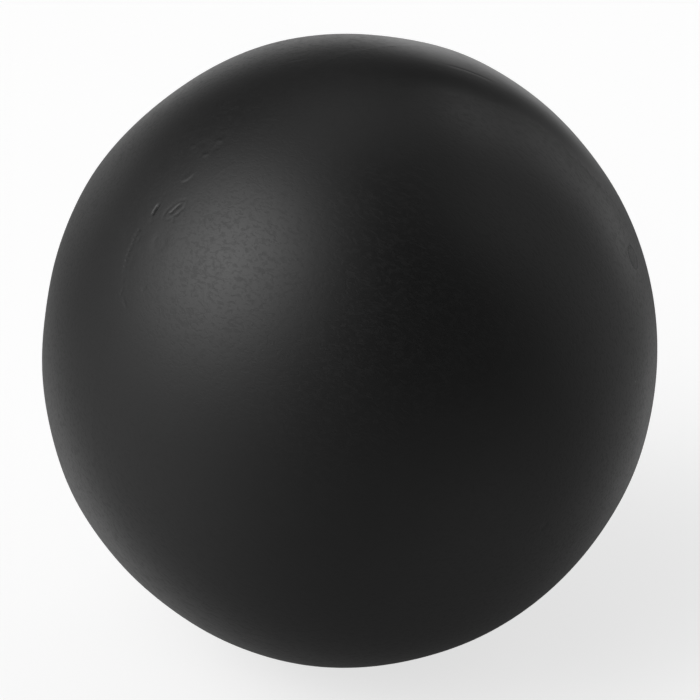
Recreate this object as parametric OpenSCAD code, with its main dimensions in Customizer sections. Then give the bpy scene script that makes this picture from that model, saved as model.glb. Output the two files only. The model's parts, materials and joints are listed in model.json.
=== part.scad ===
// Friction ball for opening and closing screwed watch case backs.
// A hollow ball of moulded rubber, cemented together from two half shells and closed by a rubber plug.
// The seam stands upright in the YZ plane. The origin is the centre of the ball, and +Z is up.

/* [Ball] */
// Width of the ball, the same in both level directions
ball_width = 64; // [56:1:74]
// Height of the straight band round the ball's middle, which makes it taller than it is wide
band = 2.4; // [0.4:0.2:3.6]
// Thickness of the rubber wall
wall = 5; // [4:0.5:7]

/* [Seam] */
// Thickness of the cured cement between the two half shells
cement_gap = 0.2; // [0.1:0.05:0.4]
// Radius of the cement bead that is squeezed out along the inside of the seam
bead_r = 0.9; // [0.6:0.1:1.4]

/* [Inflation plug] */
// Turn of the plug round the ball, from straight out along +X towards +Y, in degrees
plug_turn = 40.5; // [30:0.5:50]
// Rise of the plug above the level of the centre, in degrees
plug_rise = 25; // [10:0.5:40]
// Diameter of the hole through the wall, which the plug's stem fills
stem_d = 2.5; // [2:0.1:3.6]
// Diameter of the plug's head, inside the ball
head_d = 9; // [7:0.5:10]
// Thickness of the plug's head
head_t = 1.8; // [1.4:0.1:2.4]
// Diameter of the moulded boss that the head seats on
boss_d = 13; // [11.5:0.5:15]
// Height of the boss above the inside of the wall
boss_t = 1.8; // [1.2:0.1:2.4]
// Thickness of the cement washer under the head
washer_t = 0.15; // [0.1:0.05:0.3]

/* [Hidden] */

$fn = 128;
outer_r = ball_width / 2;
inner_r = outer_r - wall;
half_gap = cement_gap / 2;
half_band = band / 2;
// Long enough to reach past the ball from any point in it
past = 2 * ball_width;
// Slope of the boss's side, so that it leaves the mould
boss_draft = 0.5;
// Roundness of the inner rim of the plug's head
head_round = 0.6;

// Distance from the centre to the inside of the wall along the plug's axis
wall_start = half_band * sin(plug_rise) + sqrt(pow(inner_r, 2) - pow(half_band * cos(plug_rise), 2));
// Distance from the centre to the seat on top of the boss
seat = wall_start - boss_t;
// Distance from the centre to the outer face of the plug's head
head_top = seat - washer_t;

// A solid ball of this radius at its band: a dome above and below the straight band
module solid_ball(r) {
    rotate_extrude() {
        translate([0, -half_band]) square([r, band]);
        for (end = [0, 1]) mirror([0, end]) translate([0, half_band]) intersection() {
            circle(r = r);
            square(r);
        }
    }
}

module hollow_ball() {
    difference() {
        solid_ball(outer_r);
        solid_ball(inner_r);
    }
}

// The hollow ball's wall between two planes square to X
module wall_between(low_x, high_x) {
    intersection() {
        hollow_ball();
        translate([low_x, -past / 2, -past / 2]) cube([high_x - low_x, past, past]);
    }
}

// Stands what it holds upright on the plug's axis, which runs out from the centre of the ball
module on_plug_axis() {
    rotate([0, 0, plug_turn]) rotate([0, 90 - plug_rise, 0]) children();
}

// The thickened place inside the wall that the plug seats on
module boss() {
    boss_end = wall_start + wall / 2;
    on_plug_axis() rotate_extrude() polygon([
        [0, seat],
        [boss_d / 2, seat],
        [boss_d / 2 + boss_draft, boss_end],
        [0, boss_end]
    ]);
}

module plain_half_shell() {
    color("#262626") wall_between(-past, -half_gap);
}

module plug_half_shell() {
    color("#2b2b2b") difference() {
        union() {
            wall_between(half_gap, past);
            boss();
        }
        on_plug_axis() cylinder(d = stem_d, h = past);
    }
}

// The bead of squeezed-out cement, a rod that follows the inside of the seam all the way round
module bead() {
    intersection() {
        for (turn = [0, 180]) rotate([turn, 0, 0]) {
            translate([0, 0, half_band]) rotate([0, 90, 0]) rotate([0, 0, 90])
                rotate_extrude(angle = 180) translate([inner_r, 0]) circle(r = bead_r);
            translate([0, inner_r, -half_band]) cylinder(r = bead_r, h = band);
        }
        solid_ball(inner_r);
    }
}

module seam_cement() {
    color("#3a3a3a") {
        wall_between(-half_gap, half_gap);
        bead();
    }
}

// Section of the plug, from the axis outwards: the head, with a rounded inner rim, then the stem
module plug_section() {
    rim = head_d / 2 - head_round;
    translate([0, head_top - head_t]) square([rim, head_t]);
    translate([0, head_top - head_t + head_round]) square([head_d / 2, head_t - head_round]);
    translate([rim, head_top - head_t + head_round]) circle(r = head_round);
    translate([0, head_top - head_t]) square([stem_d / 2, past]);
}

// Mushroom plug of softer rubber: its head seats inside, and its stem ends flush with the ball
module inflation_plug() {
    color("#1f1f1f") intersection() {
        on_plug_axis() rotate_extrude() plug_section();
        solid_ball(outer_r);
    }
}

module plug_cement() {
    color("#4a4a4a") on_plug_axis() rotate_extrude()
        translate([stem_d / 2, head_top]) square([(head_d - stem_d) / 2, washer_t]);
}

plain_half_shell();
plug_half_shell();
seam_cement();
inflation_plug();
plug_cement();
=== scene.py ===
"""A friction ball for opening watch cases: two cemented half shells of rubber and an inflation plug."""

import json
import logging
import math
from dataclasses import dataclass, field
from enum import Enum

import bmesh
import bpy
import numpy as np
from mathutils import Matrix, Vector


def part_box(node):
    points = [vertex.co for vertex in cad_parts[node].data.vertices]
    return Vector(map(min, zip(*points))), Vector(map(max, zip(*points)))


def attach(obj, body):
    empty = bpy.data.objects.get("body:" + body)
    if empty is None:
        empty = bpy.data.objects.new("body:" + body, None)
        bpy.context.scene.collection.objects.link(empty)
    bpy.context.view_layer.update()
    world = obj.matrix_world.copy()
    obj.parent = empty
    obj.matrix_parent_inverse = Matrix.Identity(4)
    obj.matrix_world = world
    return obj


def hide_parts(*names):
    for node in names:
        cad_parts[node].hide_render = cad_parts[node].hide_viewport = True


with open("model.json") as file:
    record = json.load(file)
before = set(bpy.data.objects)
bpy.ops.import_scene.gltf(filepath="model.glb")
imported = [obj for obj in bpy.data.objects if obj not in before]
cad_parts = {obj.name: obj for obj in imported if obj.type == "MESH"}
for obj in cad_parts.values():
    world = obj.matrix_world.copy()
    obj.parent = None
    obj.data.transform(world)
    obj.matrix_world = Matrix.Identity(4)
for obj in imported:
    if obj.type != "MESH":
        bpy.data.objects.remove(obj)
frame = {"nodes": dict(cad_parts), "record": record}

log = logging.getLogger("friction_ball")

MM = 0.001
BURNISH = "burnish"
# Angle between two faces that shades as a corner
CORNER = math.radians(40.0)
# How many breadths out a mark's profile is worked out
REACH = 6.0
# Where a mark's map puts the ball's other side, and the least cosine that counts as this side
FAR_OFF = 1.0e3
SAME_SIDE = 0.5
# How far past its ends, in half lengths, a mark goes on bending
BOW_REACH = 3.0
# A point layer's value over which a point counts as marked
ON = 0.999
# How the grain's dashes lie and how drawn out they are
GRAIN_TURN = (0.0, math.radians(24.4), math.radians(39.6))
GRAIN_STRETCH = (2.2, 1.0, 1.0)
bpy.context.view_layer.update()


class Node(Enum):
    """The CAD solids by the names they were packed under."""

    PLAIN_SHELL = "plain_half_shell"
    PLUG_SHELL = "plug_half_shell"
    SEAM = "seam_cement"
    PLUG = "inflation_plug"
    WASHER = "plug_cement"


class Slot(Enum):
    """The record's material slots."""

    BLACK_RUBBER = "black_rubber"
    PLUG_RUBBER = "plug_rubber"
    RUBBER_CEMENT = "rubber_cement"


def heading(turn: float, rise: float) -> np.ndarray:
    """The unit direction that lies turn degrees round from +X and rises by rise degrees.

    Args:
        turn: Degrees round the ball from +X towards +Y.
        rise: Degrees above the level of the centre.

    Returns:
        The direction as an array of three numbers.
    """
    t, r = math.radians(turn), math.radians(rise)
    return np.array([math.cos(t) * math.cos(r), math.sin(t) * math.cos(r), math.sin(r)])


def unit(rows: np.ndarray) -> np.ndarray:
    """Rows scaled to length one."""
    return rows / np.linalg.norm(rows, axis=-1, keepdims=True)


def smooth_step(low: float, high: float, value: np.ndarray) -> np.ndarray:
    """Smooth rise from 0 at low to 1 at high.

    Args:
        low: Where the rise begins.
        high: Where it ends.
        value: The values to look up.

    Returns:
        The rise at each value.
    """
    t = np.clip((value - low) / (high - low), 0.0, 1.0)
    return t * t * (3.0 - 2.0 * t)


# --- The surface: an oval, its unevenness, and the marks that moulding and trimming left ---


@dataclass(frozen=True)
class Oval:
    """The ball's true outline, an ellipse turned about its long axis, which leans a little.

    Attributes:
        half_width: Half the ball's width, in metres.
        half_height: Half the ball's height, in metres.
        axis: Unit direction of the long axis.
    """

    half_width: float
    half_height: float
    axis: np.ndarray = field(default_factory=lambda: heading(51.5, 85.7))

    def radius(self, way: np.ndarray, inset: float = 0.0) -> np.ndarray:
        """Distance from the centre to the surface.

        Args:
            way: Unit directions, one a row.
            inset: How far the surface lies inside the outer one, in metres.

        Returns:
            One distance for each direction, in metres.
        """
        upright = (way @ self.axis) ** 2
        across, along = self.half_width - inset, self.half_height - inset
        return 1.0 / np.sqrt((1.0 - upright) / across**2 + upright / along**2)


@dataclass(frozen=True)
class Mark:
    """A small place between two ends that stands above the skin or lies below it.

    Attributes:
        start: Unit direction of one end.
        end: Unit direction of the other end.
        breadth: Half its breadth, in metres.
        height: Height over the skin, in metres; less than zero sinks it.
        bow: How far its middle bends sideways from the straight line, in metres.
        breaks: How many times it fades along its length.
    """

    start: np.ndarray
    end: np.ndarray
    breadth: float
    height: float
    bow: float = 0.0
    breaks: int = 0

    @classmethod
    def round(cls, at: np.ndarray, radius: float, height: float, ball_r: float, **more: float) -> "Mark":
        """Makes a mark that is about as long as it is broad.

        Args:
            at: Unit direction of its middle.
            radius: Its radius, in metres.
            height: Its height over the skin, in metres.
            ball_r: The ball's radius, in metres.
            **more: Other sizes of the mark.

        Returns:
            The mark.
        """
        east = unit(np.cross([0.0, 0.0, 1.0], at)) * radius / ball_r
        return cls(unit(at - east), unit(at + east), radius, height, **more)

    def flat_map(self, way: np.ndarray, ball_r: float) -> tuple[np.ndarray, np.ndarray]:
        """Places along and across the mark, in shares of its half length and half breadth.

        Args:
            way: Unit directions, one a row.
            ball_r: Radius used to turn angles into lengths, in metres.

        Returns:
            The places along and across.
        """
        middle, axis = unit(self.start + self.end), unit(self.end - self.start)
        half = self.half_length(ball_r)
        along = way @ axis * ball_r / half
        across = way @ np.cross(middle, axis) * ball_r - self.bow * np.clip(1.0 - along**2, -BOW_REACH, 1.0)
        hidden = np.where(way @ middle > SAME_SIDE, 0.0, FAR_OFF)
        return along + hidden, across / self.breadth + hidden

    def half_length(self, ball_r: float) -> float:
        """Half the distance between the two ends, in metres."""
        return float(np.linalg.norm(self.end - self.start)) * ball_r / 2.0

    def finest(self) -> float:
        """The smallest size that its mesh has to show, in metres."""
        return self.breadth

    def fade(self, along: np.ndarray) -> np.ndarray:
        """Strength along the mark, from 0 to 1, which dies away past its ends."""
        broken = 0.5 + 0.5 * np.cos(self.breaks * math.pi * along) if self.breaks else 1.0
        return np.exp(-np.clip(along, -REACH, REACH) ** 4) * broken

    def profile(self, across: np.ndarray) -> np.ndarray:
        """Share of the height at each place across the mark."""
        return np.exp(-np.clip(across, -REACH, REACH) ** 2)

    def lift(self, way: np.ndarray, ball_r: float) -> np.ndarray:
        """Height of the mark over the skin for each direction.

        Args:
            way: Unit directions, one a row.
            ball_r: Radius used to turn angles into lengths, in metres.

        Returns:
            One height for each direction, in metres.
        """
        along, across = self.flat_map(way, ball_r)
        return self.height * self.fade(along) * self.profile(across)


@dataclass(frozen=True)
class Swell(Mark):
    """A broad, soft unevenness of the wall, which needs no finer mesh."""

    def fade(self, along: np.ndarray) -> np.ndarray:
        """Strength along the swell, which dies away as softly as it does across."""
        return np.exp(-np.clip(along, -REACH, REACH) ** 2)


@dataclass(frozen=True)
class Tear(Mark):
    """A slit with one steep wall and one that slopes.

    Attributes:
        steep: Breadth of the steep wall, as a share of the mark's.
        sloped: Breadth of the sloping wall, as a share of the mark's.
    """

    steep: float = 0.5
    sloped: float = 1.7

    def profile(self, across: np.ndarray) -> np.ndarray:
        """Share of the depth at each place across the slit."""
        return super().profile(across / np.where(across > 0.0, self.steep, self.sloped))


@dataclass(frozen=True)
class Scarp(Mark):
    """A small step down across the mark, where a skin of flash was torn away."""

    def profile(self, across: np.ndarray) -> np.ndarray:
        """Share of the height at each place across the step, which dies away three breadths off."""
        return np.tanh(across) * super().profile(across / 3.0)


@dataclass(frozen=True)
class Ring(Mark):
    """A closed line round the mark, with its inside at another height.

    Attributes:
        line: Half the breadth of the line, in metres.
        inside: Height of the inside over the skin, in metres.
    """

    line: float = 0.15 * MM
    inside: float = 0.0

    def finest(self) -> float:
        """The smallest size that its mesh has to show, in metres."""
        return self.line

    def lift(self, way: np.ndarray, ball_r: float) -> np.ndarray:
        """Height of the ring's line and inside over the skin for each direction.

        Args:
            way: Unit directions, one a row.
            ball_r: Radius used to turn angles into lengths, in metres.

        Returns:
            One height for each direction, in metres.
        """
        along, across = self.flat_map(way, ball_r)
        out = np.maximum(np.hypot(along, across), 1.0e-6)
        steep = np.hypot(along / self.half_length(ball_r), across / self.breadth) / out
        away = (out - 1.0) / steep / self.line
        round_it = np.arctan2(across, along)
        broken = 0.7 + 0.3 * np.sin(self.breaks * round_it + 1.0) if self.breaks else 1.0
        return self.height * broken * self.profile(away) + self.inside * (1.0 - smooth_step(0.6, 1.1, out))


@dataclass(frozen=True)
class Burnish(Mark):
    """A broad band on one side of a ragged line, where the rubber is smoother.

    Attributes:
        hump: How far the line bulges outwards, in metres.
        hump_at: Where the bulge is, in shares of the half length.
        hump_reach: Half the bulge's length, in the same shares.
        ends: Where the band has faded out before its start and past its end, in the same shares.
        end_reach: Length over which it fades, in the same shares.
    """

    hump: float = 1.45 * MM
    hump_at: float = -0.15
    hump_reach: float = 0.45
    ends: tuple[float, float] = (-1.7, 1.4)
    end_reach: float = 0.9

    def reach(self, way: np.ndarray, ball_r: float) -> tuple[np.ndarray, np.ndarray]:
        """Distance past the line into the band, and the band's strength along its length.

        Args:
            way: Unit directions, one a row.
            ball_r: Radius used to turn angles into lengths, in metres.

        Returns:
            A distance in metres, less than zero outside the band, and a strength from 0 to 1.
        """
        along, across = self.flat_map(way, ball_r)
        bulge = self.hump * np.exp(-(((along - self.hump_at) / self.hump_reach) ** 2))
        depth = self.breadth * (1.0 - np.abs(across - bulge / self.breadth - 1.0))
        left = np.minimum(along - self.ends[0], self.ends[1] - along)
        return np.clip(depth, -self.breadth, self.breadth), smooth_step(0.0, self.end_reach, left)


@dataclass(frozen=True)
class Skin:
    """The ball's whole outer surface.

    Attributes:
        oval: The outline without marks.
        swells: Broad unevenness.
        marks: Small marks, which need a fine mesh round them.
        burnish: The smoother band.
        near_along: Past this share of a mark's half length its mesh gets coarser.
        near_across: Past this share of its half breadth it gets coarser.
        far: How many times that far the mesh is fully coarse.
        edge_share: Mesh edge on a mark as a share of its finest size.
    """

    oval: Oval
    swells: tuple[Swell, ...]
    marks: tuple[Mark, ...]
    burnish: Burnish
    near_along: float = 1.4
    near_across: float = 2.2
    far: float = 2.6
    edge_share: float = 0.45

    def radius(self, way: np.ndarray) -> np.ndarray:
        """Distance from the centre to the marked skin.

        Args:
            way: Unit directions, one a row.

        Returns:
            One distance for each direction, in metres.
        """
        found = self.oval.radius(way)
        for mark in (*self.swells, *self.marks):
            found = found + mark.lift(way, self.oval.half_width)
        return found

    def spacing(self, way: np.ndarray, coarse: float, fine: float) -> np.ndarray:
        """The longest mesh edge allowed at each place.

        Args:
            way: Unit directions, one a row.
            coarse: Longest edge away from the marks, in metres.
            fine: Longest edge at the middle of a mark, in metres.

        Returns:
            One length for each direction, in metres.
        """
        found = np.full(len(way), coarse)
        for mark in self.marks:
            along, across = mark.flat_map(way, self.oval.half_width)
            near = np.maximum(np.abs(along) / self.near_along, np.abs(across) / self.near_across)
            size = max(fine, self.edge_share * mark.finest())
            found = np.minimum(found, size + (coarse - size) * smooth_step(1.0, self.far, near))
        return found


# --- Finishes ---


class Weave:
    """Short ways to add nodes to one tree."""

    def __init__(self, tree: bpy.types.NodeTree) -> None:
        """Keeps the tree that nodes are added to."""
        self.tree = tree

    def node(self, kind: str, settings: dict | None = None, **inputs: object) -> bpy.types.Node:
        """Adds a node and fills its inputs.

        Args:
            kind: The node's type name.
            settings: Values set on the node itself.
            **inputs: Input values or output sockets, by input name with _ for a space.

        Returns:
            The new node.
        """
        made = self.tree.nodes.new(kind)
        for name, value in (settings or {}).items():
            setattr(made, name, value)
        for name, value in inputs.items():
            self.feed(made.inputs[name.replace("_", " ")], value)
        return made

    def feed(self, socket: bpy.types.NodeSocket, value: object) -> None:
        """Links an output to a socket, or sets the socket's value.

        Args:
            socket: The input.
            value: The output or the value.
        """
        if isinstance(value, bpy.types.NodeSocket):
            self.tree.links.new(value, socket)
        else:
            socket.default_value = value

    def math(self, operation: str, *values: object) -> bpy.types.NodeSocket:
        """Adds a Math node.

        Args:
            operation: Its operation, such as MULTIPLY.
            *values: Its inputs, as numbers or output sockets.

        Returns:
            The node's output.
        """
        made = self.tree.nodes.new("ShaderNodeMath")
        made.operation = operation
        for socket, value in zip(made.inputs, values):
            self.feed(socket, value)
        return made.outputs[0]

    def place(self) -> bpy.types.NodeSocket:
        """The place on the object, in metres."""
        return self.node("ShaderNodeTexCoord").outputs["Object"]

    def group(self, tree: bpy.types.NodeTree) -> bpy.types.Node:
        """Adds a node for a group."""
        return self.node("ShaderNodeGroup", {"node_tree": tree})

    def blend(self, mask: object, low: object, high: object) -> bpy.types.NodeSocket:
        """Mixes two colours.

        Args:
            mask: 0 for the first colour and 1 for the second.
            low: The first colour, or its output.
            high: The second colour, or its output.

        Returns:
            The mixed colour's output.
        """
        made = self.node("ShaderNodeMix", {"data_type": "RGBA"})
        for socket, value in ((0, mask), (6, low), (7, high)):
            self.feed(made.inputs[socket], value)
        return made.outputs[2]

    def ramp(
        self, value: object, low: float, high: float, to_low: float, to_high: float
    ) -> bpy.types.NodeSocket:
        """Maps a range of values smoothly onto another.

        Args:
            value: The value to map.
            low: Where the rise begins.
            high: Where it ends.
            to_low: What it gives below low.
            to_high: What it gives above high.

        Returns:
            The mapped value's output.
        """
        made = self.tree.nodes.new("ShaderNodeMapRange")
        made.interpolation_type = "SMOOTHSTEP"
        for socket, item in zip(made.inputs, (value, low, high, to_low, to_high)):
            self.feed(socket, item)
        return made.outputs["Result"]


def new_group(
    name: str, outputs: tuple[str, ...] = ("Mask",), **inputs: float
) -> tuple[bpy.types.NodeTree, Weave, bpy.types.Node, bpy.types.Node]:
    """Starts a shader node group with named number sockets.

    Args:
        name: The group's name.
        outputs: Names of its outputs.
        **inputs: Starting values of its inputs, by name with _ for a space.

    Returns:
        The group, a Weave for it, and its input and output nodes.
    """
    tree = bpy.data.node_groups.new(name, "ShaderNodeTree")
    for label, value in inputs.items():
        title = label.replace("_", " ")
        socket = tree.interface.new_socket(title, in_out="INPUT", socket_type="NodeSocketFloat")
        socket.default_value = value
    for label in outputs:
        tree.interface.new_socket(label, in_out="OUTPUT", socket_type="NodeSocketFloat")
    weave = Weave(tree)
    return tree, weave, weave.node("NodeGroupInput"), weave.node("NodeGroupOutput")


@dataclass(frozen=True)
class RubberEffects:
    """The node groups that every rubber finish on the ball shares.

    Attributes:
        grain: Height of the fine moulded grain and of its short creases.
        bloom: A mask of the faint haze that rubber sweats out, in patches.
        dust: A mask of the few specks that have stuck to the rubber.
        burnish: A mask of the smoother band over the top of the ball.
    """

    grain: bpy.types.NodeTree
    bloom: bpy.types.NodeTree
    dust: bpy.types.NodeTree
    burnish: bpy.types.NodeTree

    @classmethod
    def build(cls) -> "RubberEffects":
        """Builds each group once."""
        return cls(cls.build_grain(), cls.build_bloom(), cls.build_dust(), cls.build_burnish())

    @staticmethod
    def build_burnish() -> bpy.types.NodeTree:
        """Builds the mask of the smoother band, with a ragged edge.

        Returns:
            The group, with a Mask from 0 to 1.
        """
        tree, weave, given, out = new_group("burnished_band", Raggedness=2.6)
        written = weave.node("ShaderNodeAttribute", {"attribute_name": BURNISH})
        parts = weave.node("ShaderNodeSeparateXYZ", Vector=written.outputs["Vector"])
        place = weave.place()
        noise = weave.node("ShaderNodeTexNoise", Vector=place, Scale=1300.0, Detail=3.0, Roughness=0.65)
        centred = weave.math("SUBTRACT", noise.outputs["Fac"], 0.5)
        ragged = weave.math("MULTIPLY_ADD", centred, given.outputs["Raggedness"], parts.outputs["X"])
        mask = weave.math("MULTIPLY", weave.ramp(ragged, -0.1, 0.25, 0.0, 1.0), parts.outputs["Y"])
        weave.feed(out.inputs["Mask"], mask)
        return tree

    @staticmethod
    def build_grain() -> bpy.types.NodeTree:
        """Builds the grain: soft pebbling, crossed by short, fine, broken creases.

        Returns:
            The group, with Height and Creases from 0 to 1.
        """
        tree, weave, given, out = new_group(
            "moulded_grain", ("Height", "Creases"), Pebble_Scale=1300.0, Crease_Scale=3100.0
        )
        place = weave.place()
        drawn = weave.node("ShaderNodeMapping", {"vector_type": "TEXTURE"}, Vector=place)
        weave.feed(drawn.inputs["Rotation"], GRAIN_TURN)
        weave.feed(drawn.inputs["Scale"], GRAIN_STRETCH)
        pebbles = weave.node("ShaderNodeTexNoise", Vector=place, Detail=3.0, Roughness=0.55)
        weave.feed(pebbles.inputs["Scale"], given.outputs["Pebble Scale"])
        dashes = weave.node("ShaderNodeTexNoise", Vector=drawn.outputs[0], Detail=2.0, Distortion=0.6)
        weave.feed(dashes.inputs["Scale"], given.outputs["Crease Scale"])
        crease = weave.ramp(dashes.outputs["Fac"], 0.36, 0.53, 1.0, 0.0)
        weave.feed(out.inputs["Creases"], crease)
        weave.feed(out.inputs["Height"], weave.math("MULTIPLY_ADD", crease, -0.5, pebbles.outputs["Fac"]))
        return tree

    @staticmethod
    def build_bloom() -> bpy.types.NodeTree:
        """Builds the haze mask.

        Returns:
            The group, with a Mask from 0 to 1.
        """
        tree, weave, given, out = new_group("rubber_bloom", Patch_Scale=60.0)
        place = weave.place()
        patch = weave.node("ShaderNodeTexNoise", Vector=place, Detail=4.0, Roughness=0.6)
        weave.feed(patch.inputs["Scale"], given.outputs["Patch Scale"])
        fine = weave.node("ShaderNodeTexNoise", Vector=place, Scale=900.0, Detail=2.0)
        both = weave.math("MULTIPLY_ADD", fine.outputs["Fac"], 0.35, patch.outputs["Fac"])
        weave.feed(out.inputs["Mask"], weave.ramp(both, 0.5, 0.9, 0.0, 1.0))
        return tree

    @staticmethod
    def build_dust() -> bpy.types.NodeTree:
        """Builds the mask of stuck specks.

        Returns:
            The group, with a Mask from 0 to 1.
        """
        tree, weave, given, out = new_group("stuck_dust", Speck_Scale=420.0, Share=0.02)
        place = weave.place()
        cells = weave.node("ShaderNodeTexVoronoi", Vector=place)
        weave.feed(cells.inputs["Scale"], given.outputs["Speck Scale"])
        pick = weave.node("ShaderNodeSeparateColor", Color=cells.outputs["Color"])
        chosen = weave.math("LESS_THAN", pick.outputs["Red"], given.outputs["Share"])
        core = weave.ramp(cells.outputs["Distance"], 0.03, 0.09, 1.0, 0.0)
        weave.feed(out.inputs["Mask"], weave.math("MULTIPLY", chosen, core))
        return tree


def new_material(name: str) -> tuple[bpy.types.Material, Weave]:
    """Starts an empty material.

    Args:
        name: The material's name.

    Returns:
        The material and a Weave for it.
    """
    made = bpy.data.materials.new(name)
    made.use_nodes = True
    made.node_tree.nodes.clear()
    return made, Weave(made.node_tree)


@dataclass(frozen=True)
class RubberFinish:
    """One rubber finish: colour, gloss and how strongly each effect shows.

    Attributes:
        name: The material's name.
        colour: Grey level of the clean rubber.
        haze: Grey level where bloom is thickest.
        roughness: Roughness of the clean rubber.
        haze_roughness: Roughness where bloom is thickest.
        grain_depth: Height of the grain, in metres.
        crease_roughness: How much rougher the rubber is in the grain's creases.
        burnish_drop: How much smoother the rubber is in the burnished band.
        burnish_flattens: Share of the grain that is gone in the burnished band.
        dust_grey: Grey level of the stuck specks.
    """

    name: str
    colour: tuple[float, float, float]
    haze: tuple[float, float, float]
    roughness: float
    haze_roughness: float
    grain_depth: float
    crease_roughness: float = 0.07
    burnish_drop: float = 0.10
    burnish_flattens: float = 0.7
    dust_grey: float = 0.25

    def build(self, effects: RubberEffects) -> bpy.types.Material:
        """Builds the material.

        Args:
            effects: The shared node groups.

        Returns:
            The material.
        """
        made, weave = new_material(self.name)
        grain, bloom = weave.group(effects.grain), weave.group(effects.bloom)
        dust, burnish = weave.group(effects.dust), weave.group(effects.burnish)
        haze = weave.blend(bloom.outputs["Mask"], (*self.colour, 1.0), (*self.haze, 1.0))
        speck = (self.dust_grey, self.dust_grey, self.dust_grey, 1.0)
        specked = weave.blend(dust.outputs["Mask"], haze, speck)
        gloss = weave.ramp(bloom.outputs["Mask"], 0.0, 1.0, self.roughness, self.haze_roughness)
        grainy = weave.math("MULTIPLY_ADD", burnish.outputs["Mask"], -self.burnish_flattens, 1.0)
        creases = weave.math("MULTIPLY", grain.outputs["Creases"], grainy)
        gloss = weave.math("MULTIPLY_ADD", creases, self.crease_roughness, gloss)
        gloss = weave.math("MULTIPLY_ADD", burnish.outputs["Mask"], -self.burnish_drop, gloss)
        height = weave.math("MULTIPLY", grain.outputs["Height"], grainy)
        bump = weave.node("ShaderNodeBump", Strength=1.0, Distance=self.grain_depth, Height=height)
        shader = weave.node(
            "ShaderNodeBsdfPrincipled",
            Base_Color=specked,
            Roughness=gloss,
            IOR=1.5,
            Normal=bump.outputs["Normal"],
        )
        weave.node("ShaderNodeOutputMaterial", Surface=shader.outputs[0])
        return made


@dataclass(frozen=True)
class Finishes:
    """The built materials of the ball."""

    black_rubber: bpy.types.Material
    plug_rubber: bpy.types.Material
    rubber_cement: bpy.types.Material

    @classmethod
    def build(cls) -> "Finishes":
        """Builds the shared effects, then each finish from them.

        Returns:
            The finishes.
        """
        effects = RubberEffects.build()
        black = RubberFinish(
            name="black_rubber",
            colour=(0.0044, 0.0045, 0.0045),
            haze=(0.0062, 0.0063, 0.0063),
            roughness=0.38,
            haze_roughness=0.41,
            grain_depth=7.0e-6,
        )
        plug = RubberFinish(
            name="plug_rubber",
            colour=(0.0042, 0.0043, 0.0043),
            haze=(0.0055, 0.0056, 0.0056),
            roughness=0.42,
            haze_roughness=0.46,
            grain_depth=7.0e-6,
        )
        cement = RubberFinish(
            name="rubber_cement",
            colour=(0.0044, 0.0045, 0.0045),
            haze=(0.006, 0.0061, 0.0061),
            roughness=0.38,
            haze_roughness=0.42,
            grain_depth=7.0e-6,
        )
        return cls(black.build(effects), plug.build(effects), cement.build(effects))


# --- Mesh helpers ---


def make_piece(
    name: str, mesh: bpy.types.Mesh, material: bpy.types.Material, node: Node
) -> bpy.types.Object:
    """Puts a finished mesh in the scene in place of its CAD solid.

    Args:
        name: The piece's name.
        mesh: Its mesh, in metres in the frame's axes.
        material: Its finish.
        node: The CAD solid that it stands for.

    Returns:
        The piece.
    """
    piece = bpy.data.objects.new(name, mesh)
    bpy.context.scene.collection.objects.link(piece)
    mesh.materials.append(material)
    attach(piece, "root")
    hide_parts(node.value)
    log.info("%s: %d faces", name, len(mesh.polygons))
    return piece


def mark_burnish(mesh: bpy.types.Mesh, skin: Skin) -> None:
    """Writes how far each point lies past the band's line, in millimetres, and the band's strength.

    Args:
        mesh: The mesh to write on.
        skin: The outer surface.
    """
    places = np.zeros(len(mesh.vertices) * 3)
    mesh.vertices.foreach_get("co", places)
    past, strength = skin.burnish.reach(unit(places.reshape(-1, 3)), skin.oval.half_width)
    written = np.stack([past / MM, strength, np.zeros(len(past))], axis=1)
    mesh.attributes.new(BURNISH, "FLOAT_VECTOR", "POINT").data.foreach_set("vector", written.ravel())


def close_mesh(name: str, points: np.ndarray, faces: list[tuple[int, ...]], skin: Skin) -> bpy.types.Mesh:
    """Makes a smooth mesh with corners from points and faces.

    Args:
        name: The mesh's name.
        points: Its points, one a row.
        faces: Its faces as point numbers.
        skin: The outer surface, for the burnished band.

    Returns:
        The mesh.
    """
    mesh = bpy.data.meshes.new(name)
    mesh.from_pydata(points.tolist(), [], faces)
    bm = bmesh.new()
    bm.from_mesh(mesh)
    finish_mesh(bm, mesh, skin)
    return mesh


def finish_mesh(bm: bmesh.types.BMesh, mesh: bpy.types.Mesh, skin: Skin) -> None:
    """Turns faces outwards, sets smooth shading and writes the mesh.

    Args:
        bm: The mesh being edited, which is freed.
        mesh: The mesh to write.
        skin: The outer surface, for the burnished band.
    """
    bmesh.ops.recalc_face_normals(bm, faces=bm.faces)
    smooth_with_corners(bm, CORNER)
    bm.to_mesh(mesh)
    bm.free()
    mark_burnish(mesh, skin)


def spokes_round(pole: np.ndarray, around: int) -> np.ndarray:
    """Evenly turned directions square to a pole.

    Args:
        pole: The pole's unit direction.
        around: How many directions.

    Returns:
        The directions, one a row.
    """
    east = unit(np.cross([0.0, 0.0, 1.0], pole))
    turn = np.arange(around) / around * 2.0 * math.pi
    return np.cos(turn)[:, None] * east + np.sin(turn)[:, None] * np.cross(pole, east)


def ring_quads(rings: int, around: int, closed: bool) -> list[tuple[int, ...]]:
    """Faces between rings of points numbered ring by ring.

    Args:
        rings: How many rings there are.
        around: Points on each ring.
        closed: True if the last ring joins the first.

    Returns:
        The faces as point numbers.
    """
    faces = []
    for i in range(rings if closed else rings - 1):
        here, there = i * around, (i + 1) % rings * around
        for j in range(around):
            k = (j + 1) % around
            faces.append((here + j, here + k, there + k, there + j))
    return faces


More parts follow.
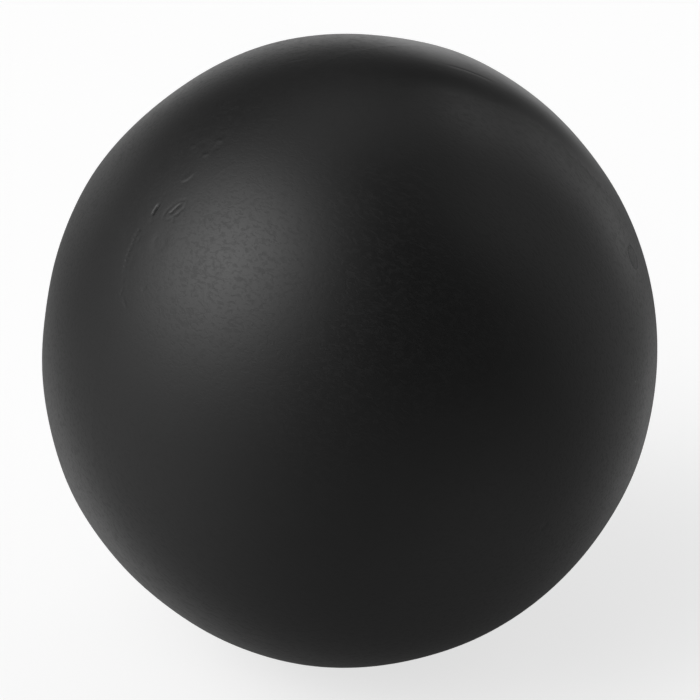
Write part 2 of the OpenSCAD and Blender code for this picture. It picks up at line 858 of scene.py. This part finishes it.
def fan(first: int, around: int, tip: int, forward: bool) -> list[tuple[int, ...]]:
    """Triangles from one ring of points to a point at its middle.

    Args:
        first: Number of the ring's first point.
        around: Points on the ring.
        tip: Number of the point at the middle.
        forward: True if the faces run along the ring in the order of its points.

    Returns:
        The faces as point numbers.
    """
    faces = []
    for j in range(around):
        here, there = first + j, first + (j + 1) % around
        faces.append((here, there, tip) if forward else (there, here, tip))
    return faces


def smooth_with_corners(bm: bmesh.types.BMesh, corner: float) -> None:
    """Shades faces smooth, with a sharp edge wherever two meet at a corner.

    Args:
        bm: The mesh.
        corner: Angle between two faces that counts as a corner, in radians.
    """
    for face in bm.faces:
        face.smooth = True
    for edge in bm.edges:
        edge.smooth = len(edge.link_faces) == 2 and edge.calc_face_angle(0.0) < corner


# --- The ball's pieces ---


@dataclass
class Layout:
    """Sizes that several pieces share, read from the frame.

    Attributes:
        oval: The ball's outline.
        wall: Thickness of the wall.
        half_gap: Half the thickness of the cement in the seam.
        plug_way: Unit direction of the plug's axis.
        head_top: Distance from the centre to the outer face of the plug's head.
        seat: Distance from the centre to the top of the boss.
        stem_r: Radius of the plug's stem.
        head_r: Radius of the plug's head.
        head_t: Thickness of the plug's head.
    """

    oval: Oval
    wall: float
    half_gap: float
    plug_way: np.ndarray
    head_top: float
    seat: float
    stem_r: float = 1.25 * MM
    head_r: float = 4.5 * MM
    head_t: float = 1.8 * MM

    @classmethod
    def read(cls) -> "Layout":
        """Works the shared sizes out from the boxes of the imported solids.

        Returns:
            The sizes.
        """
        size = frame["record"]["size"]["bbox_m"]
        washer = np.array(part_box(Node.WASHER.value))
        middle = washer.mean(axis=0)
        far = float(np.linalg.norm(middle))
        washer_t = 0.15 * MM
        return cls(
            oval=Oval(size[0] / 2, size[2] / 2),
            wall=5.0 * MM,
            half_gap=float(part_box(Node.PLUG_SHELL.value)[0][0]),
            plug_way=middle / far,
            head_top=far - washer_t / 2,
            seat=far + washer_t / 2,
        )


@dataclass
class HalfShell:
    """One moulded half of the ball: skin, seam face and inside, as one closed wall.

    Attributes:
        layout: The shared sizes.
        skin: The outer surface.
        side: +1 for the half on the +X side, -1 for the other.
        around: Mesh lines round the half's pole.
        skin_rings: Rings of the base mesh between the pole and the seam.
        inner_rings: The same on the inside.
        coarse: Longest skin edge away from the marks.
        fine: Shortest target edge on a mark.
        slack: How many times the allowed edge is split.
        passes: Most times that edges are split.
    """

    layout: Layout
    skin: Skin
    side: int
    around: int = 240
    skin_rings: int = 58
    inner_rings: int = 40
    coarse: float = 0.95 * MM
    fine: float = 0.1 * MM
    slack: float = 1.15
    passes: int = 6

    def pole(self) -> np.ndarray:
        """Direction that the mesh lines run out from."""
        return np.array([float(self.side), 0.0, 0.0])

    def seam_angle(self, spoke: np.ndarray, radius: float) -> np.ndarray:
        """Angle from the pole to the seam's face along each mesh line.

        Args:
            spoke: Directions square to the pole.
            radius: Distance from the centre at which the face is met.

        Returns:
            One angle for each mesh line, in radians.
        """
        level, lean = self.side * self.pole()[0], self.side * spoke[:, 0]
        sine = self.layout.half_gap / radius / np.hypot(level, lean)
        return np.arctan2(lean, level) + np.arccos(sine)

    def ring(self, spoke: np.ndarray, angle: np.ndarray) -> np.ndarray:
        """Directions at these angles from the pole, one for each mesh line."""
        return np.cos(angle)[:, None] * self.pole() + np.sin(angle)[:, None] * spoke

    def arc_rings(self, start: float, inset: float, count: int) -> list[np.ndarray]:
        """Rings of directions from near the pole out to the seam.

        Args:
            start: Angle of the first ring from the pole, in radians.
            inset: How far below the outline the rings lie.
            count: How many rings.

        Returns:
            The rings, from the pole outwards.
        """
        spoke = spokes_round(self.pole(), self.around)
        rim = self.seam_angle(spoke, self.layout.oval.half_width - inset)
        return [self.ring(spoke, start + (rim - start) * i / (count - 1)) for i in range(count)]

    def wall_rings(self, start: float, foot: float) -> list[np.ndarray]:
        """Rings of points from near the pole out over the skin and back along the inside.

        Args:
            start: Angle of the skin's first ring from the pole, in radians.
            foot: The same for the inside's last ring.

        Returns:
            The rings, with both edges at the seam's face set to it exactly.
        """
        oval, wall = self.layout.oval, self.layout.wall
        outer = self.arc_rings(start, 0.0, self.skin_rings)
        inner = self.arc_rings(foot, wall, self.inner_rings)
        skin = [way * self.skin.radius(way)[:, None] for way in outer]
        inside = [way * oval.radius(way, wall)[:, None] for way in inner]
        for rings in (skin, inside):
            rings[-1][:, 0] = self.side * self.layout.half_gap
        return skin + inside[::-1]

    def skin_marks(self, count: int, first: int) -> tuple[np.ndarray, np.ndarray]:
        """Tells which points are skin and which are the skin's seam edge.

        Args:
            count: How many points there are.
            first: Number of the first skin ring.

        Returns:
            1 for each point that is skin, and 1 for each at the seam edge.
        """
        on_skin, on_rim = np.zeros(count), np.zeros(count)
        after = (first + self.skin_rings) * self.around
        on_skin[first * self.around : after] = 1.0
        on_rim[after - self.around : after] = 1.0
        return on_skin, on_rim

    def base(self) -> tuple[np.ndarray, list[tuple[int, ...]], np.ndarray, np.ndarray]:
        """Builds the wall's coarse mesh, closed at both poles.

        Returns:
            Points, faces, how much of the skin each point is, and the same for the skin's seam edge.
        """
        step = math.pi / 2 / self.skin_rings
        rings = self.wall_rings(step, step)
        pole, wall = self.pole()[None, :], self.layout.wall
        inner_tip = self.layout.oval.radius(pole, wall)
        tips = [pole * far[:, None] for far in (self.skin.radius(pole), inner_tip)]
        points = np.vstack(rings + tips)
        faces = ring_quads(len(rings), self.around, closed=False)
        top, low = len(points) - 2, len(points) - 1
        last = (len(rings) - 1) * self.around
        faces += fan(0, self.around, top, forward=False) + fan(last, self.around, low, forward=True)
        on_skin, on_rim = self.skin_marks(len(points), 0)
        on_skin[top] = 1.0
        return points, faces, on_skin, on_rim

    def refine(self, bm: bmesh.types.BMesh, skin_mark: object) -> None:
        """Splits skin edges that are longer than the marks near them allow.

        Args:
            bm: The wall's mesh.
            skin_mark: The point layer that says which points are skin.
        """
        for _ in range(self.passes):
            edges = [e for e in bm.edges if all(v[skin_mark] > ON for v in e.verts)]
            ends = np.array([(*e.verts[0].co, *e.verts[1].co) for e in edges]).reshape(-1, 2, 3)
            length = np.linalg.norm(ends[:, 0] - ends[:, 1], axis=1)
            allowed = self.skin.spacing(unit(ends.mean(axis=1)), self.coarse, self.fine)
            long = [e for e, too_long in zip(edges, length > self.slack * allowed) if too_long]
            if not long:
                break
            bmesh.ops.subdivide_edges(bm, edges=long, cuts=1, use_grid_fill=True)

    def mesh(self, name: str) -> bpy.types.Mesh:
        """Builds the finished wall.

        Args:
            name: The mesh's name.

        Returns:
            The mesh.
        """
        points, faces, on_skin, on_rim = self.base()
        mesh = bpy.data.meshes.new(name)
        mesh.from_pydata(points.tolist(), [], faces)
        bm = bmesh.new()
        bm.from_mesh(mesh)
        skin_mark = bm.verts.layers.float.new("skin")
        rim_mark = bm.verts.layers.float.new("rim")
        for vert, skin, rim in zip(bm.verts, on_skin, on_rim):
            vert[skin_mark], vert[rim_mark] = skin, rim
        self.refine(bm, skin_mark)
        skinned = [v for v in bm.verts if v[skin_mark] > ON]
        way = unit(np.array([v.co for v in skinned]))
        placed = way * self.skin.radius(way)[:, None]
        for vert, place in zip(skinned, placed):
            vert.co = place
            if vert[rim_mark] > ON:
                vert.co.x = self.side * self.layout.half_gap
        for mark in ("skin", "rim"):
            bm.verts.layers.float.remove(bm.verts.layers.float[mark])
        finish_mesh(bm, mesh, self.skin)
        return mesh


@dataclass
class PlugHalfShell(HalfShell):
    """The half with the plug's hole, whose mesh lines run out from the hole.

    Attributes:
        boss_r: Radius of the boss at its top.
        boss_foot: How much wider the boss is where it meets the wall.
        lip: Rounding of the hole's outer edge.
    """

    boss_r: float = 6.5 * MM
    boss_foot: float = 0.5 * MM
    lip: float = 0.04 * MM

    def pole(self) -> np.ndarray:
        """Direction of the plug's axis, which the mesh lines run out from."""
        return self.layout.plug_way

    def base(self) -> tuple[np.ndarray, list[tuple[int, ...]], np.ndarray, np.ndarray]:
        """Builds the wall's coarse mesh, closed through the plug's hole.

        Returns:
            Points, faces, how much of the skin each point is, and the same for the skin's seam edge.
        """
        layout = self.layout
        pole, spoke = self.pole(), spokes_round(self.pole(), self.around)
        hole = layout.stem_r

        def tube(radius: float, far: float) -> np.ndarray:
            """A ring round the plug's axis at this radius and distance from the centre."""
            return pole * far + spoke * radius

        lip_rings = []
        for quarter in (0.0, 0.25, 0.5, 0.75):
            swing = quarter * math.pi / 2
            out = hole + self.lip * (1.0 - math.cos(swing))
            down = self.lip * (1.0 - math.sin(swing))
            way = unit(pole * layout.oval.half_width + spoke * out)
            lip_rings.append(way * (self.skin.radius(way) - down)[:, None])
        start = math.asin((hole + self.lip) / layout.oval.half_width)
        foot = math.asin((self.boss_r + self.boss_foot) / (layout.oval.half_width - layout.wall))
        rings = [tube(hole, layout.seat), tube(hole, layout.seat + layout.wall / 2), *lip_rings]
        first = len(rings)
        rings += self.wall_rings(start, foot)
        rings += [tube(self.boss_r, layout.seat), tube((self.boss_r + hole) / 2, layout.seat)]
        points = np.vstack(rings)
        faces = ring_quads(len(rings), self.around, closed=True)
        return points, faces, *self.skin_marks(len(points), first)


@dataclass
class SeamCement:
    """The cured cement between the half shells, with the bead squeezed out inside.

    Attributes:
        layout: The shared sizes.
        skin: The outer surface.
        bead_r: Radius of the bead.
        bead_flat: The bead's height as a share of its radius.
        fine_step: Step between mesh lines where the marks are, in degrees.
        step: The same elsewhere.
        fine_from: Where finer steps begin, in degrees from the top towards -Y.
        fine_to: Where they end.
    """

    layout: Layout
    skin: Skin
    bead_r: float = 0.9 * MM
    bead_flat: float = 0.95
    fine_from: float = 18.0
    fine_to: float = 70.0
    fine_step: float = 0.2
    step: float = 0.8

    def steps(self) -> np.ndarray:
        """Places the mesh lines round the seam, finer where the marks are.

        Returns:
            Their angles, in radians.
        """
        fine = np.arange(self.fine_from, self.fine_to, self.fine_step)
        rest = np.arange(self.fine_to, 360.0 + self.fine_from, self.step)
        return np.radians(np.concatenate([fine, rest]))

    def mesh(self, name: str) -> bpy.types.Mesh:
        """Builds the strip and its bead as one closed ring.

        Args:
            name: The mesh's name.

        Returns:
            The mesh.
        """
        layout = self.layout
        turn = self.steps()
        out = np.stack([np.zeros(len(turn)), -np.sin(turn), np.cos(turn)], axis=1)
        outer = self.skin.radius(out)
        inner = layout.oval.radius(out, layout.wall)
        middle = (outer + inner) / 2
        profile: list[tuple[float, np.ndarray]] = [
            (-layout.half_gap, outer),
            (0.0, outer),
            (layout.half_gap, outer),
            (layout.half_gap, middle),
            (layout.half_gap, inner),
        ]
        droop = inner - np.sqrt(inner**2 - self.bead_r**2)
        profile.append((0.5 * self.bead_r, inner - 0.25 * droop))
        for share in np.linspace(0.0, 1.0, 9):
            swing = math.pi * share
            drop = self.bead_r * math.sin(swing) * self.bead_flat
            profile.append((self.bead_r * math.cos(swing), inner - droop - drop))
        profile.append((-0.5 * self.bead_r, inner - 0.25 * droop))
        profile += [(-layout.half_gap, inner), (-layout.half_gap, middle)]
        rings = [out * far[:, None] + np.array([[x, 0.0, 0.0]]) for x, far in profile]
        return close_mesh(name, np.vstack(rings), ring_quads(len(rings), len(turn), closed=True), self.skin)


@dataclass
class InflationPlug:
    """The mushroom plug: a round head inside the ball and a stem that ends at the skin.

    Attributes:
        layout: The shared sizes.
        skin: The outer surface, which the stem's end follows.
        around: Mesh lines round the plug.
        sink: How far the stem's end lies below the skin.
        edge: Rounding of the stem's outer edge.
        head_edge: Rounding of the head's inner rim.
    """

    layout: Layout
    skin: Skin
    around: int = 96
    sink: float = 0.005 * MM
    edge: float = 0.04 * MM
    head_edge: float = 0.6 * MM

    def mesh(self, name: str) -> bpy.types.Mesh:
        """Builds the plug from its inner face out along the stem.

        Args:
            name: The mesh's name.

        Returns:
            The mesh.
        """
        layout = self.layout
        pole = layout.plug_way
        spoke = spokes_round(pole, self.around)
        low = layout.head_top - layout.head_t
        rings = [pole * low + spoke * r for r in (0.5 * MM, 2.0 * MM)]
        for share in np.linspace(0.0, 1.0, 6):
            swing = share * math.pi / 2
            r = layout.head_r - self.head_edge * (1.0 - math.sin(swing))
            rings.append(pole * (low + self.head_edge * (1.0 - math.cos(swing))) + spoke * r)
        rings += [pole * layout.head_top + spoke * r for r in (layout.head_r, layout.stem_r)]
        rings.append(pole * (layout.head_top + layout.wall) + spoke * layout.stem_r)
        for share in np.linspace(0.0, 1.0, 6):
            swing = share * math.pi / 2
            rings.append(self.end_ring(pole, spoke, layout.stem_r - self.edge * (1.0 - math.cos(swing)),
                                       self.edge * (1.0 - math.sin(swing))))
        rings += [self.end_ring(pole, spoke, layout.stem_r * share, 0.0) for share in (0.66, 0.4, 0.16)]
        tips = np.vstack([pole * low, pole * (self.skin.radius(pole[None, :])[0] - self.sink)])
        points = np.vstack([*rings, tips])
        faces = ring_quads(len(rings), self.around, closed=False)
        last = (len(rings) - 1) * self.around
        bottom, top = len(points) - 2, len(points) - 1
        faces += fan(0, self.around, bottom, forward=False) + fan(last, self.around, top, forward=True)
        return close_mesh(name, points, faces, self.skin)

    def end_ring(self, pole: np.ndarray, spoke: np.ndarray, radius: float, down: float) -> np.ndarray:
        """A ring of the stem's end, which follows the skin.

        Args:
            pole: The plug's axis.
            spoke: Directions square to it.
            radius: The ring's radius.
            down: How far it lies below the stem's end.

        Returns:
            The ring's points.
        """
        way = unit(pole * self.layout.oval.half_width + spoke * radius)
        return way * (self.skin.radius(way) - self.sink - down)[:, None]


# --- The studio ---


@dataclass(frozen=True)
class Glow:
    """One soft patch of light in the studio's tent.

    Attributes:
        turn: Its place round the ball, in degrees from the camera's side towards its right.
        rise: Its place above the camera's line of sight, in degrees.
        tightness: How quickly it fades from its middle.
        level: Its brightness.
    """

    turn: float
    rise: float
    tightness: float
    level: float


@dataclass
class Studio:
    """Camera, floor and lights.

    Attributes:
        layout: The ball's shared sizes.
        turn: The camera's place round the ball, where 0 looks along +Y and 90 along -X.
        rise: The camera's height above the level, in degrees.
        distance: From the camera to the ball's centre.
        ball_share: The ball's mean width as a share of the view's.
        nudge: How far the view is shifted to the right and up, as shares of its width.
    """

    layout: Layout
    turn: float = 52.5
    rise: float = 26.5
    distance: float = 0.3425
    ball_share: float = 0.8966
    nudge: tuple[float, float] = (0.001, 0.002)

    def glows(self) -> tuple[Glow, ...]:
        """Places the tent's patches of light: the key at the left, the rims, the sides and the top.

        Returns:
            The patches.
        """
        return (
            Glow(-50.7, 27.2, 11.71, 4.131),
            Glow(-141.3, 22.9, 79.58, 0.476),
            Glow(76.9, -47.0, 3.74, 0.324),
            Glow(136.9, 16.5, 88.84, 0.952),
            Glow(-151.5, -14.3, 17.39, 0.542),
            Glow(170.8, 31.9, 90.00, 0.515),
            Glow(99.5, 10.8, 15.80, 0.368),
            Glow(132.5, -9.3, 14.73, 0.345),
            Glow(-79.2, -19.2, 2.45, 0.657),
            Glow(153.8, -5.8, 89.99, 0.646),
            Glow(-31.7, 86.8, 18.96, 0.609),
            Glow(120.6, 56.3, 88.96, 1.329),
            Glow(168.6, 15.4, 81.08, 0.700),
            Glow(128.9, 34.9, 90.00, 1.042),
            Glow(-171.0, 23.6, 37.68, 1.072),
            Glow(70.4, 38.4, 12.72, 0.465),
        )

    def axes(self) -> tuple[np.ndarray, np.ndarray, np.ndarray]:
        """Works out how the camera is turned.

        Returns:
            Its right, up and backward directions.
        """
        t, r = math.radians(self.turn), math.radians(self.rise)
        right = np.array([math.cos(t), math.sin(t), 0.0])
        back = np.array([math.sin(t) * math.cos(r), -math.cos(t) * math.cos(r), math.sin(r)])
        return right, np.cross(back, right), back

    def camera_way(self, turn: float, rise: float) -> np.ndarray:
        """A direction given round and above the camera's line of sight, in the frame's axes.

        Args:
            turn: Degrees from the camera's side towards its right.
            rise: Degrees towards the top of the view.

        Returns:
            The unit direction.
        """
        right, up, back = self.axes()
        t, r = math.radians(turn), math.radians(rise)
        return right * math.sin(t) * math.cos(r) + up * math.sin(r) + back * math.cos(t) * math.cos(r)

    def build_camera(self) -> None:
        """Places the camera so that the ball fills its share of the view, and makes it the scene's."""
        back = self.axes()[2]
        data = bpy.data.cameras.new("view")
        camera = bpy.data.objects.new("view", data)
        bpy.context.scene.collection.objects.link(camera)
        camera.location = Vector(back) * self.distance
        camera.rotation_euler = Vector(-back).to_track_quat("-Z", "Y").to_euler()
        mean_r = (self.layout.oval.half_width + self.layout.oval.half_height) / 2
        tangent = mean_r / math.sqrt(self.distance**2 - mean_r**2)
        data.sensor_width = 36.0
        data.lens = data.sensor_width / 2.0 * self.ball_share / tangent
        data.shift_x, data.shift_y = self.nudge
        data.clip_start, data.clip_end = 0.01, 60.0
        bpy.context.scene.camera = camera

    def build_floor(self) -> None:
        """Lays the pale floor under the ball."""
        size = 6.0
        mesh = bpy.data.meshes.new("floor")
        low = -self.layout.oval.half_height
        corners = [(-size, -size, low), (size, -size, low), (size, size, low), (-size, size, low)]
        mesh.from_pydata(corners, [], [(0, 1, 2, 3)])
        floor = bpy.data.objects.new("floor", mesh)
        bpy.context.scene.collection.objects.link(floor)
        made, weave = new_material("pale_floor")
        shader = weave.node(
            "ShaderNodeBsdfPrincipled",
            Base_Color=(0.42, 0.42, 0.42, 1.0),
            Roughness=0.9,
            Emission_Color=(1.0, 1.0, 1.0, 1.0),
            Emission_Strength=0.7,
        )
        weave.node("ShaderNodeOutputMaterial", Surface=shader.outputs[0])
        mesh.materials.append(made)
        floor.visible_glossy = False
        floor.visible_diffuse = False
        floor.visible_shadow = False

    def build_tent(self) -> None:
        """Surrounds the ball with soft patches of light, and shows white to the camera."""
        world = bpy.data.worlds.new("tent")
        bpy.context.scene.world = world
        world.use_nodes = True
        world.node_tree.nodes.clear()
        weave = Weave(world.node_tree)
        way = weave.node("ShaderNodeTexCoord").outputs["Generated"]
        total: object = 0.0
        for glow in self.glows():
            dot = weave.node("ShaderNodeVectorMath", {"operation": "DOT_PRODUCT"})
            weave.feed(dot.inputs[0], way)
            weave.feed(dot.inputs[1], tuple(self.camera_way(glow.turn, glow.rise)))
            falling = weave.math("MULTIPLY_ADD", dot.outputs["Value"], glow.tightness, -glow.tightness)
            total = weave.math("MULTIPLY_ADD", weave.math("EXPONENT", falling), glow.level, total)
        seen = weave.node("ShaderNodeLightPath").outputs["Is Camera Ray"]
        strength = weave.ramp(seen, 0.0, 1.0, total, 1.0)
        light = weave.node("ShaderNodeBackground", Color=(1.0, 1.0, 1.0, 1.0), Strength=strength)
        weave.node("ShaderNodeOutputWorld", Surface=light.outputs[0])

    def build(self) -> None:
        """Builds the whole studio."""
        bpy.context.scene.view_settings.view_transform = "Standard"
        self.build_camera()
        self.build_floor()
        self.build_tent()


@dataclass(frozen=True)
class SkinMaker:
    """Names every unevenness of the ball's skin and puts it in its place.

    Attributes:
        oval: The ball's outline.
        swell_r: Radius of each broad swell.
    """

    oval: Oval
    swell_r: float = 5.0 * MM

    def at_seam(self, along: float, across: float) -> np.ndarray:
        """The unit direction of a place near the seam.

        Args:
            along: Degrees round the seam from the top towards -Y.
            across: Distance from the seam's middle towards +X, in millimetres.

        Returns:
            The direction.
        """
        t, x = math.radians(along), across * MM / self.oval.half_width
        return np.array([math.sin(x), -math.sin(t) * math.cos(x), math.cos(t) * math.cos(x)])

    def trimming(self) -> list[Mark]:
        """Marks that trimming the flash left along the upper part of the seam on the -Y side.

        Returns:
            The marks.
        """
        at, ball_r = self.at_seam, self.oval.half_width
        return [
            # Slit where the flash tore, deepest in its middle, and its shallow tail
            Tear(at(47.2, -0.42), at(45.4, -0.42), 0.19 * MM, -0.200 * MM, steep=0.7, sloped=1.1),
            Mark(at(49.0, -0.15), at(47.9, -0.1), 0.20 * MM, -0.018 * MM),
            Mark(at(44.9, -0.5), at(42.2, -0.1), 0.20 * MM, -0.010 * MM, 0.2 * MM, 3),
            # Flake of rubber that was folded down, outlined by a groove, and the wavy line across it
            Ring(at(47.0, 1.25), at(42.4, 2.55), 0.62 * MM, -0.016 * MM, line=0.17 * MM, breaks=3),
            Tear(at(45.7, 1.5), at(44.6, 1.75), 0.16 * MM, -0.045 * MM, -0.08 * MM),
            Tear(at(44.6, 1.85), at(43.3, 2.2), 0.16 * MM, -0.045 * MM, 0.1 * MM),
            Mark(at(47.1, 2.35), at(43.2, 3.0), 0.19 * MM, -0.020 * MM, 0.12 * MM, 3),
            Mark(at(46.9, 2.55), at(46.2, 2.65), 0.24 * MM, -0.016 * MM),
            # Torn end of the flash, a small scarp with a round shoulder behind it
            Scarp(at(40.0, 0.45), at(37.9, 1.15), 0.16 * MM, 0.026 * MM, -0.18 * MM),
            Mark(at(39.8, 1.0), at(38.5, 1.4), 0.35 * MM, 0.012 * MM),
            # Groove along the trimmed line, in stretches, and the shallow channel beside it
            Mark(at(50.4, -0.95), at(53.2, -0.95), 0.22 * MM, -0.042 * MM, -0.08 * MM, 3),
            Mark(at(53.0, -0.92), at(58.0, -0.38), 0.22 * MM, -0.042 * MM, -0.18 * MM, 5),
            Mark(at(57.8, -0.30), at(61.2, 0.5), 0.20 * MM, -0.012 * MM, -0.1 * MM, 2),
            Mark(at(61.0, 0.5), at(62.4, 0.45), 0.18 * MM, -0.014 * MM),
            Mark(at(62.2, 0.8), at(63.6, 1.8), 0.18 * MM, -0.015 * MM),
            Mark(at(51.3, -0.25), at(61.0, 1.3), 0.55 * MM, -0.022 * MM, -0.65 * MM, 2),
            Mark.round(at(52.2, -0.4), 0.25 * MM, -0.016 * MM, ball_r),
            # Blister that has sunk, and a pinhole
            Ring.round(at(51.0, 2.4), 0.95 * MM, -0.010 * MM, ball_r, line=0.3 * MM, inside=-0.020 * MM),
            Mark(at(59.6, 3.0), at(58.7, 3.4), 0.22 * MM, -0.018 * MM),
        ]

    def nibs(self) -> list[Mark]:
        """Small nibs and pits in the mould, further up the seam.

        Returns:
            The marks.
        """
        at, ball_r = self.at_seam, self.oval.half_width
        return [
            Mark.round(at(33.5, -1.7), 0.3 * MM, 0.018 * MM, ball_r),
            Mark.round(at(31.7, -1.9), 0.32 * MM, 0.016 * MM, ball_r),
            Mark.round(at(32.1, -0.7), 0.38 * MM, -0.018 * MM, ball_r),
            Mark(at(30.5, 0.4), at(30.1, 1.1), 0.26 * MM, 0.024 * MM),
            Mark.round(at(28.6, 0.1), 0.3 * MM, 0.018 * MM, ball_r),
            Mark.round(at(31.9, 1.1), 0.34 * MM, -0.018 * MM, ball_r),
            Mark(at(34.2, 0.4), at(33.4, 0.9), 0.26 * MM, 0.026 * MM),
            Ring(at(42.3, -2.9), at(40.7, -2.5), 0.35 * MM, 0.010 * MM, line=0.15 * MM),
            Ring(at(25.2, -2.5), at(22.6, -1.8), 0.4 * MM, 0.010 * MM, line=0.2 * MM),
            Mark(at(22.4, 2.9), at(21.0, 3.5), 0.25 * MM, 0.012 * MM),
            Mark(at(37.6, 3.5), at(32.4, 4.4), 0.18 * MM, 0.006 * MM, 0.2 * MM),
        ]

    def others(self) -> list[Mark]:
        """Marks away from the seam.

        Returns:
            The marks.
        """
        at, ball_r = self.at_seam, self.oval.half_width
        return [
            # Hairlines on the top of the ball
            Mark(at(-15.0, 5.1), at(-22.5, 7.6), 0.2 * MM, -0.012 * MM, 0.1 * MM),
            Mark(at(6.4, -2.3), at(8.7, -3.1), 0.18 * MM, -0.010 * MM),
            # Nick, and the faint ring of a vent below it
            Mark(heading(0.9, -12.2), heading(-0.5, -13.1), 0.35 * MM, -0.022 * MM),
            Ring.round(heading(-1.5, -15.0), 1.3 * MM, -0.004 * MM, ball_r, line=0.2 * MM),
            # Dent beside the plug, towards the seam's far side
            Mark(heading(52.3, 22.5), heading(46.5, 14.0), 0.45 * MM, -0.03 * MM),
        ]

    def burnish(self) -> Burnish:
        """The band over the top of the ball on the +Y side that lay against the mould's warmer part."""
        return Burnish(heading(16.3, 72.6), heading(47.3, 34.9), 9.0 * MM, 0.0)

    def swells(self) -> tuple[Swell, ...]:
        """Broad unevenness that the wall was left with when it cured.

        Returns:
            The swells.
        """

        def swell(turn: float, rise: float, height: float) -> Swell:
            """A swell at this place, with its height in millimetres."""
            return Swell.round(heading(turn, rise), self.swell_r, height * MM, self.oval.half_width)

        return (
            swell(96.7, 61.6, 0.11),
            swell(121.1, 67.7, -0.09),
            swell(179.4, 64.6, 0.08),
            swell(-153.5, 50.6, -0.09),
            swell(-139.2, 33.6, 0.13),
            swell(-126.1, 9.6, -0.17),
            swell(-109.5, -21.2, 0.15),
            swell(-89.3, -43.4, -0.09),
            swell(-52.3, -57.1, 0.06),
            swell(-14.1, -55.6, -0.08),
            swell(36.7, -17.8, 0.09),
            swell(67.2, 38.0, -0.08),
        )

    def build(self) -> Skin:
        """Gathers the whole surface."""
        marks = (*self.trimming(), *self.nibs(), *self.others())
        return Skin(self.oval, self.swells(), marks, self.burnish())


def main() -> None:
    """Builds the ball and its studio, and reports each piece."""
    logging.basicConfig(level=logging.INFO, format="%(message)s")
    layout = Layout.read()
    finishes = Finishes.build()
    skin = SkinMaker(layout.oval).build()
    plain, holed = HalfShell(layout, skin, -1), PlugHalfShell(layout, skin, 1)
    seam, plug = SeamCement(layout, skin), InflationPlug(layout, skin)
    black, cement, soft = finishes.black_rubber, finishes.rubber_cement, finishes.plug_rubber
    make_piece("plain_shell", plain.mesh("plain_shell"), black, Node.PLAIN_SHELL)
    make_piece("plug_shell", holed.mesh("plug_shell"), black, Node.PLUG_SHELL)
    make_piece("seam", seam.mesh("seam"), cement, Node.SEAM)
    make_piece("plug", plug.mesh("plug"), soft, Node.PLUG)
    washer = frame["nodes"][Node.WASHER.value]
    washer.data.materials.clear()
    washer.data.materials.append(cement)
    Studio(layout).build()


if __name__ == "__main__":
    main()
